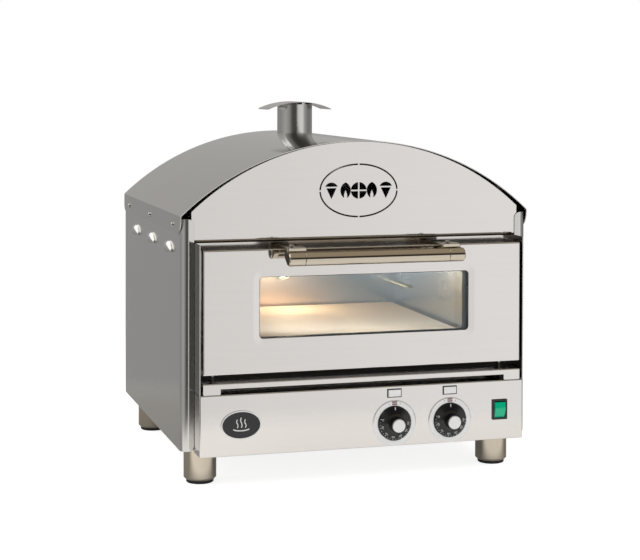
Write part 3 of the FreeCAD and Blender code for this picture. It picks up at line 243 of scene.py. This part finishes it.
def camera():
    """Long lens low and to the left of the front, with the picture shifted down."""
    data = bpy.data.cameras.new("camera")
    data.sensor_width = 36.0
    data.lens = 91.5
    eye = bpy.data.objects.new("camera", data)
    bpy.context.scene.collection.objects.link(eye)
    turn, tilt, roll = (math.radians(angle) for angle in (16.45, -1.18, 0.14))
    eye.location = (-0.776, -2.6135, 0.625)
    eye.rotation_euler = (Matrix.Rotation(-turn, 4, "Z") @ Matrix.Rotation(math.pi / 2 + tilt, 4, "X")
                          @ Matrix.Rotation(roll, 4, "Z")).to_euler()
    shift_picture(eye, shift=-0.263)
    bpy.context.scene.camera = eye


# ---- materials ----
def steel(name, tone, rough, grain, streak=0.015, cloud=0.02, scratch=0.03, relief=0.06,
          edge_radius=0.0007):
    """Stainless sheet: fine grain along one axis, soft streaks, faint handling marks."""
    material, nodes = new_material(name)
    place = object_place(nodes)
    fine, fine_along, broad, broad_along = 2600.0, 30.0, 160.0, 5.0    # cells in a metre
    cloud_gloss, least_rough = 0.03, 0.02
    fine_stretch = tuple(fine_along if axis == grain else fine for axis in "xyz")
    broad_stretch = tuple(broad_along if axis == grain else broad for axis in "xyz")
    lines = nodes.noise(place, fine_stretch, 3.0)
    streaks = nodes.noise(place, broad_stretch, 2.0)
    clouds = nodes.noise(place, (7.0, 7.0, 7.0), 3.0)
    level = nodes.math("MULTIPLY_ADD", streaks, 2 * streak, 1.0 - streak)
    swing = nodes.math("SUBTRACT", clouds, 0.5)
    level = nodes.math("MULTIPLY_ADD", swing, 2 * cloud, level)
    colour = nodes.mix(1.0, (*tone, 1.0), nodes.grey(level), "MULTIPLY")
    roughness = nodes.math("MULTIPLY_ADD", lines, scratch, rough - scratch / 2)
    roughness = nodes.math("MULTIPLY_ADD", swing, cloud_gloss, roughness)
    roughness = nodes.math("MAXIMUM", roughness, least_rough)
    edge = nodes.add("Bevel", {"Radius": edge_radius}, samples=4)
    bump = nodes.add("Bump", {"Strength": relief, "Distance": 0.00003, "Height": lines,
                              "Normal": edge.outputs[0]})
    shader = nodes.add("BsdfPrincipled", {"Base Color": colour, "Metallic": 1.0,
                                          "Roughness": roughness, "Normal": bump.outputs[0]})
    finish_surface(nodes, shader.outputs[0])
    return material


def steel_with_tint_and_painted_light(name, first, second, rough, axis, start, end):
    """Steel whose tone drifts from first to second between two places along one axis, a drift that
    paints light and shade (besides any tint of its own), over cloudy mottle.
    """
    wander, mottle, gloss_range = 0.10, 0.25, 0.12
    material, nodes = new_material(name)
    place = object_place(nodes)
    along = nodes.add("SeparateXYZ", {0: place}).outputs["XYZ".index(axis)]
    clouds = nodes.noise(place, (9.0, 9.0, 22.0), 4.0)
    lines = nodes.noise(place, (40.0, 1500.0, 1500.0), 2.0)
    # The drift along the axis carries painted light and shade.
    drift = nodes.math("MULTIPLY_ADD", nodes.math("SUBTRACT", clouds, 0.5), wander, along)
    colour = nodes.mix(nodes.fit(drift, start, end), (*first, 1.0), (*second, 1.0))
    level = nodes.math("MULTIPLY_ADD", clouds, mottle, 1 - mottle / 2)
    colour = nodes.mix(1.0, colour, nodes.grey(level), "MULTIPLY")
    bump = nodes.add("Bump", {"Strength": 0.15, "Distance": 0.00005, "Height": lines})
    shader = nodes.add("BsdfPrincipled", {
        "Base Color": colour, "Metallic": 1.0, "Normal": bump.outputs[0],
        "Roughness": nodes.math("MULTIPLY_ADD", clouds, gloss_range, rough - gloss_range / 2)})
    finish_surface(nodes, shader.outputs[0])
    return material


def plain(name, tone, rough, metal=0.0, speckle=0.03, relief=0.08, **extra):
    """Moulded or turned surface with a fine speckle in colour, gloss and relief."""
    fine, gloss_range = 500.0, 0.06
    material, nodes = new_material(name)
    spots = nodes.noise(object_place(nodes), (fine, fine, fine), 3.0)
    dark = tuple(channel * (1 - speckle) for channel in tone)
    light = tuple(min(1.0, channel * (1 + speckle)) for channel in tone)
    colour = nodes.mix(spots, (*dark, 1.0), (*light, 1.0))
    edge = nodes.add("Bevel", {"Radius": 0.0003}, samples=4)
    bump = nodes.add("Bump", {"Strength": relief, "Distance": 0.00005, "Height": spots,
                              "Normal": edge.outputs[0]})
    inputs = {"Base Color": colour, "Metallic": metal, "Normal": bump.outputs[0],
              "Roughness": nodes.math("MULTIPLY_ADD", spots, gloss_range, rough - gloss_range / 2)}
    inputs.update(extra)
    finish_surface(nodes, nodes.add("BsdfPrincipled", inputs).outputs[0])
    return material


def baked_stone(name):
    """Fired cordierite: pale buff with fine grit, small pores darkened with painted shade, and broad
    toasted patches.
    """
    material, nodes = new_material(name)
    place = object_place(nodes)
    patches = nodes.noise(place, (9.0, 9.0, 9.0), 4.0)
    grit = nodes.noise(place, (900.0, 900.0, 900.0), 2.0)
    pores = nodes.add("TexVoronoi", {"Vector": place, "Scale": 260.0}).outputs["Distance"]
    pits = nodes.fit(pores, 0.05, 0.16)
    colour = nodes.mix(patches, (0.60, 0.47, 0.34, 1.0), (0.74, 0.62, 0.48, 1.0))
    level = nodes.math("MULTIPLY_ADD", grit, 0.3, 0.85)
    colour = nodes.mix(1.0, colour, nodes.grey(level), "MULTIPLY")
    # Pores take a dark brown: painted shade in the pits.
    colour = nodes.mix(pits, (0.34, 0.26, 0.19, 1.0), colour)
    height = nodes.math("MULTIPLY_ADD", grit, 0.3, pits)
    bump = nodes.add("Bump", {"Strength": 0.4, "Distance": 0.0003, "Height": height})
    shader = nodes.add("BsdfPrincipled", {"Base Color": colour, "Roughness": 0.72,
                                          "Normal": bump.outputs[0]})
    finish_surface(nodes, shader.outputs[0])
    return material


def fibres(name, pale, dark, scale):
    """Matted or woven fibre, darker between the strands: painted shade in the hollows."""
    material, nodes = new_material(name)
    place = object_place(nodes)
    waves = nodes.add("TexWave", {"Vector": place, "Scale": scale, "Distortion": 12.0, "Detail": 3.0,
                                  "Detail Scale": 2.0}).outputs["Fac"]
    fluff = nodes.noise(place, (scale * 2, scale * 2, scale * 2), 5.0)
    height = nodes.math("MULTIPLY", waves, fluff)
    # Low places between the strands take the dark colour: painted shade.
    colour = nodes.mix(nodes.fit(height, 0.05, 0.6), (*dark, 1.0), (*pale, 1.0))
    bump = nodes.add("Bump", {"Strength": 0.7, "Distance": 0.0006, "Height": height})
    shader = nodes.add("BsdfPrincipled", {"Base Color": colour, "Roughness": 0.92,
                                          "Sheen Weight": 0.3, "Normal": bump.outputs[0]})
    finish_surface(nodes, shader.outputs[0])
    return material


def window_glass(name):
    """Flat pane: clear, with a mirror part that grows towards grazing angles."""
    material, nodes = new_material(name)
    smears = nodes.noise(object_place(nodes), (14.0, 14.0, 14.0), 4.0)
    clear = nodes.add("BsdfTransparent", {"Color": (0.93, 0.955, 0.965, 1.0)})
    shine = nodes.add("BsdfGlossy", {"Color": (0.90, 0.96, 1.0, 1.0),
                                     "Roughness": nodes.math("MULTIPLY", smears, 0.02)})
    part = nodes.add("Fresnel", {"IOR": 1.5}).outputs[0]
    both = nodes.add("MixShader", {0: part, 1: clear.outputs[0], 2: shine.outputs[0]})
    finish_surface(nodes, both.outputs[0])
    return material


WARM_GLOW = {"Emission Color": (1.0, 0.80, 0.52, 1.0), "Emission Strength": 10.0}
GREEN_GLOW = {"Emission Color": (0.0, 0.36, 0.19, 1.0), "Emission Strength": 0.35}
PILOT_GLOW = {"Emission Color": (1.0, 1.0, 1.0, 1.0), "Emission Strength": 0.06}

LOOKS = {
    "front_steel": steel("front_steel", (0.70, 0.68, 0.66), 0.055, "x"),
    "case_steel": steel("case_steel", (0.62, 0.615, 0.60), 0.13, "z", streak=0.004, cloud=0.01,
                        scratch=0.015, relief=0.03),
    # Liner tone, warm at the left to blue-grey at the right: partly straw heat tint, partly painted
    # warm lamp light and a painted blue-grey daylight reflection on the right wall.
    "inner_steel": steel_with_tint_and_painted_light("inner_steel", (0.66, 0.53, 0.43), (0.50, 0.545, 0.575), 0.26,
                                "X", -0.02, 0.16),
    "turned_steel": steel("turned_steel", (0.56, 0.50, 0.41), 0.06, "z"),
    "zinc_steel": steel("zinc_steel", (0.68, 0.68, 0.67), 0.12, "z"),
    "stone": baked_stone("stone"),
    "wool": fibres("wool", (0.62, 0.58, 0.42), (0.30, 0.26, 0.16), 180.0),
    "element": plain("element", (0.10, 0.09, 0.085), 0.45, metal=0.5, speckle=0.3),
    "clear_glass": window_glass("clear_glass"),
    "lamp_glass": window_glass("lamp_glass"),
    "lamp": plain("lamp", (1.0, 0.93, 0.8), 0.5, **WARM_GLOW),
    "seal": plain("seal", (0.010, 0.011, 0.014), 0.40),
    "rope": fibres("rope", (0.46, 0.45, 0.42), (0.10, 0.10, 0.09), 900.0),
    "black_plastic": plain("black_plastic", (0.008, 0.008, 0.009), 0.16, relief=0.02),
    "matt_plastic": plain("matt_plastic", (0.02, 0.02, 0.022), 0.42),
    "green_lens": plain("green_lens", (0.0, 0.36, 0.19), 0.22, relief=0.02, **GREEN_GLOW),
    "pilot_clear": plain("pilot_clear", (0.93, 0.94, 0.96), 0.10, relief=0.02, **PILOT_GLOW),
    "bright_disc": plain("bright_disc", (0.84, 0.855, 0.87), 0.30, metal=0.55, relief=0.015),
    "badge_black": plain("badge_black", (0.014, 0.014, 0.018), 0.25),
    "brass": plain("brass", (0.75, 0.52, 0.24), 0.25, metal=1.0),
    "pale_plastic": plain("pale_plastic", (0.7, 0.68, 0.62), 0.45),
    "wire": plain("wire", (0.16, 0.06, 0.03), 0.45),
    "white_ink": plain("white_ink", (0.80, 0.84, 0.86), 0.5),
    "grey_ink": plain("grey_ink", (0.16, 0.16, 0.17), 0.5),
    "red_ink": plain("red_ink", (0.13, 0.008, 0.014), 0.45),
    "polished_steel": steel("polished_steel", (0.60, 0.59, 0.57), 0.075, "x", edge_radius=0.0004),
    # Door surround: dark below z 0.20 m and bright above 0.34 m, painted shade in the gap under the
    # door with lit steel higher up.
    "frame_steel_painted_shade": steel_with_tint_and_painted_light("frame_steel_painted_shade", (0.17, 0.165, 0.16), (0.68, 0.655, 0.63), 0.12,
                                "Z", 0.20, 0.34),
}
OTHER_FINISHES = {"canopy": "polished_steel", "door_surround": "frame_steel_painted_shade"}

for part in RECORD["subparts"]:
    look = LOOKS[OTHER_FINISHES.get(part["node"], part["material_slot"])]
    for holder in NODES[part["node"]].material_slots:
        holder.material = look


# ---- pieces made here ----
def mesh_piece(name, body, look, points, faces):
    mesh = bpy.data.meshes.new(name)
    mesh.from_pydata(points, [], faces)
    mesh.materials.append(LOOKS[look])
    piece = bpy.data.objects.new(name, mesh)
    bpy.context.scene.collection.objects.link(piece)
    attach(piece, body)
    return piece


class Inlay:
    """Gathers flat outlines given in a face's own (across, up) metres, then raises them a
    little above the face.  place(across, up, out) returns the point in the scene."""

    def __init__(self, place, thickness):
        self.place = place
        self.thickness = thickness
        self.points = []
        self.faces = []

    def add(self, outline):
        """One outline, counter-clockwise as seen from outside."""
        start, count = len(self.points), len(outline)
        for out in (self.thickness, 0.0):
            self.points += [self.place(across, up, out) for across, up in outline]
        self.faces.append(tuple(start + i for i in range(count)))
        for i in range(count):
            after = (i + 1) % count
            self.faces.append((start + i, start + count + i, start + count + after, start + after))

    def bar(self, across, up, half_wide, half_high):
        self.add([(across - half_wide, up - half_high), (across + half_wide, up - half_high),
                  (across + half_wide, up + half_high), (across - half_wide, up + half_high)])

    def ribbon(self, spine, half_wide):
        """Strip of even width along a list of (across, up) points, built from short quads."""
        sides = []
        for i, (across, up) in enumerate(spine):
            before, after = spine[max(i - 1, 0)], spine[min(i + 1, len(spine) - 1)]
            run = Vector((after[0] - before[0], after[1] - before[1])).normalized() * half_wide
            sides.append(((across + run.y, up - run.x), (across - run.y, up + run.x)))
        for (right, left), (next_right, next_left) in zip(sides, sides[1:]):
            self.add([right, next_right, next_left, left])

    def text(self, words, size, across, up):
        """Plain numerals from Blender's own font, centred on (across, up)."""
        curve = bpy.data.curves.new("numeral", "FONT")
        curve.body = words
        curve.size = size
        curve.align_x = "CENTER"
        curve.align_y = "CENTER"
        writer = bpy.data.objects.new("numeral", curve)
        flat = bpy.data.meshes.new_from_object(writer)
        start = len(self.points)
        self.points += [self.place(across + v.co.x, up + v.co.y, self.thickness)
                        for v in flat.vertices]
        self.faces += [tuple(start + i for i in face.vertices) for face in flat.polygons]
        bpy.data.objects.remove(writer)
        bpy.data.curves.remove(curve)
        bpy.data.meshes.remove(flat)

    def build(self, name, body, look):
        return mesh_piece(name, body, look, self.points, self.faces)


def box_middle(node):
    low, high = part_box(node)
    return (low + high) / 2


SKIRT_OUTER, SKIRT_INNER = 0.0256, 0.0152     # radii of the knob skirt's cone
SKIRT_OUTER_OUT, SKIRT_INNER_OUT = 0.0040, 0.0058   # how far it stands off the knob's back


def on_skirt(knob):
    """place() for the cone: across is the arc length at mid radius, up is outwards."""
    centre = box_middle(knob)
    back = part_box(knob)[1].y
    middle = (SKIRT_OUTER + SKIRT_INNER) / 2

    def place(angle, radius, out):
        share = (SKIRT_OUTER - radius) / (SKIRT_OUTER - SKIRT_INNER)
        rise = SKIRT_OUTER_OUT + share * (SKIRT_INNER_OUT - SKIRT_OUTER_OUT)
        return (centre.x + radius * math.sin(angle / middle), back - rise - out,
                centre.z + radius * math.cos(angle / middle))

    return place, middle


INK = 0.00006                # thickness of print


def knob_marks(knob, body):
    """Pointer, numerals from 50 to 350 and ticks printed on the skirt."""
    place, middle = on_skirt(knob)
    marks = Inlay(place, INK)
    pointer_radius, pointer = 0.0232, (0.0006, 0.0022)     # radius, (half width, half height)
    letter_radius, letter_size = 0.0209, 0.0036
    long_radius, long_tick = 0.0242, (0.00030, 0.0009)
    short_radius, short_tick = 0.0244, (0.00022, 0.0006)
    first, step, count = -72.0, -33.0, 7
    marks.bar(0.0, pointer_radius, *pointer)
    for index in range(count):
        angle = math.radians(first + index * step) * middle
        marks.text(str(50 + index * 50), letter_size, angle, letter_radius)
        marks.bar(angle, long_radius, *long_tick)
        for part in (1, 2):
            if index < count - 1:
                between = math.radians(first + (index + part / 3) * step) * middle
                marks.bar(between, short_radius, *short_tick)
    marks.build(knob + "_marks", body, "white_ink")


def on_face(node, middle):
    """place() for the flat front of a node; across and up are measured from middle."""
    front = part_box(node)[0].y

    def place(across, up, out):
        return (middle.x + across, front - out, middle.z + up)

    return place


def ring_marks(knob):
    """Two short red bars above the dial and a small tick each side."""
    place = on_face("dial_rings", box_middle(knob))
    print_high = 0.00008
    bar_half_wide, bar_half_high = 0.0042, 0.0010
    bars = Inlay(place, print_high)
    for up in (0.0296, 0.0328):
        bars.bar(0.0, up, bar_half_wide, bar_half_high)
    bars.build(knob + "_index_bars", "oven", "red_ink")
    tick_low, tick_high, tick_half_wide = (0.0084, 0.0287), (0.0096, 0.0312), 0.0003
    ticks = Inlay(place, print_high)
    for side in (-1, 1):
        ticks.ribbon([(side * across, up) for across, up in (tick_low, tick_high)], tick_half_wide)
    ticks.build(knob + "_index_ticks", "oven", "grey_ink")


def badge_motif():
    """Three wisps of steam over a plate, standing on the oval badge."""
    motif = Inlay(on_face("badge_plate", box_middle("badge_plate")), thickness=0.0003)
    dish_high, gap, sway, steps = -0.0055, 0.0015, 0.0011, 14
    wisp_half_wide, dish_half_wide = 0.0007, 0.0008
    low = dish_high + gap
    for across, high in ((-0.0062, 0.0085), (0.0, 0.0115), (0.0062, 0.0085)):
        shares = [i / steps for i in range(steps + 1)]
        motif.ribbon([(across + sway * math.sin(2 * math.pi * share), low + share * (high - low))
                      for share in shares], wisp_half_wide)
    dish_reach, dish_deep = 0.0125, 0.0030
    turns = [math.radians(turn) for turn in range(-80, 81, 10)]
    motif.ribbon([(dish_reach * math.sin(turn), dish_high - dish_deep * math.cos(turn))
                  for turn in turns], dish_half_wide)
    motif.build("badge_motif", "oven", "bright_disc")


def rope_path(corner, radius):
    """Points along the centre line of the mouth's seal, a rounded rectangle."""
    steps = 12               # in each corner
    low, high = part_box("door_gasket")
    left, right = low.x + radius, high.x - radius
    bottom, top = low.z + radius, high.z - radius
    depth = (low.y + high.y) / 2
    corners = ((right - corner, top - corner, 0), (left + corner, top - corner, 90),
               (left + corner, bottom + corner, 180), (right - corner, bottom + corner, 270))
    samples = []
    for x, z, start in corners:
        for i in range(steps + 1):
            turn = math.radians(start + i * 90 / steps)
            samples.append(Vector((x + corner * math.cos(turn), depth, z + corner * math.sin(turn))))
    return samples


def even_steps(samples, step):
    """Resample a closed line to equal steps; returns (place, heading) pairs."""
    ends = samples[1:] + samples[:1]
    lengths = [(b - a).length for a, b in zip(samples, ends)]
    total = sum(lengths)
    count = round(total / step)
    result, index, walked = [], 0, 0.0
    for i in range(count):
        goal = total * i / count
        while walked + lengths[index] < goal:
            walked += lengths[index]
            index += 1
        a, b = samples[index], ends[index]
        result.append((a.lerp(b, (goal - walked) / lengths[index]), (b - a).normalized()))
    return result


def braided_seal():
    """The mouth's rope seal as a braid: three strands wound each way about its core."""
    radius, corner, step = 0.0024, 0.014, 0.0011
    strand, offset, weave, sides, pitch = 0.0010, 0.0014, 0.00018, 6, 0.012
    line = even_steps(rope_path(corner, radius), step)
    turns = round(len(line) * step / pitch)
    depth_way = Vector((0.0, 1.0, 0.0))
    points, faces = [], []
    for way in (-1, 1):
        for start in range(3):
            base = len(points)
            for i, (middle, heading) in enumerate(line):
                turn = 2 * math.pi * (way * turns * i / len(line) + start / 3)
                side = heading.cross(depth_way)
                lift = offset + way * weave * math.cos(3 * turn)
                centre = middle + (side * math.cos(turn) + depth_way * math.sin(turn)) * lift
                for k in range(sides):
                    around = 2 * math.pi * k / sides
                    points.append(centre + (side * math.cos(around) + depth_way * math.sin(around))
                                  * strand)
            for i in range(len(line)):
                here, after = base + i * sides, base + (i + 1) % len(line) * sides
                for k in range(sides):
                    beside = (k + 1) % sides
                    faces.append((here + k, after + k, after + beside, here + beside))
    seal = mesh_piece("door_gasket_braid", "oven", "rope", points, faces)
    seal.data.polygons.foreach_set("use_smooth", [True] * len(faces))
    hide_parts("door_gasket")


for knob, body in (("left_knob", "left_dial"), ("right_knob", "right_dial")):
    knob_marks(knob, body)
    ring_marks(knob)
badge_motif()
braided_seal()


# ---- lights ----
def oven_lamp():
    """Warm light of the lamp, standing off the rear wall so that it spreads over the stone."""
    stand_off = 0.05
    low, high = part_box("lamp_lens")
    light = bpy.data.lights.new("oven_lamp", "POINT")
    light.energy = 0.6
    light.color = (1.0, 0.76, 0.50)
    light.shadow_soft_size = 0.014
    holder = bpy.data.objects.new("oven_lamp", light)
    bpy.context.scene.collection.objects.link(holder)
    holder.location = ((low.x + high.x) / 2, low.y - stand_off, (low.z + high.z) / 2)
    holder.visible_camera = False


def chamber_glow():
    """Even light on the rear and right-hand walls, from under the chamber's roof in front."""
    from_front, from_roof, from_side = 0.05, 0.02, 0.08
    low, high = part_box("oven_liner")
    middle = (low + high) / 2
    glow = area_light("chamber_glow", (middle.x, low.y + from_front, high.z - from_roof),
                      (high.x - from_side, high.y, middle.z), size=(0.30, 0.03), power=0.6,
                      mirrored=True, colour=(0.97, 0.98, 1.0))
    glow.visible_camera = False


studio_world()
floor()
camera()
oven_lamp()
area_light("key_softbox", (1.6, -2.6, 2.4), (0, 0, 0.25), size=(1.6, 1.2), power=26.0,
           mirrored=False)
area_light("side_softbox", (-1.9, 1.1, 1.9), (-0.28, 0.0, 0.35), size=(4.0, 2.4), power=36.0,
           mirrored=True)
chamber_glow()
bpy.context.scene.view_settings.view_transform = "Standard"
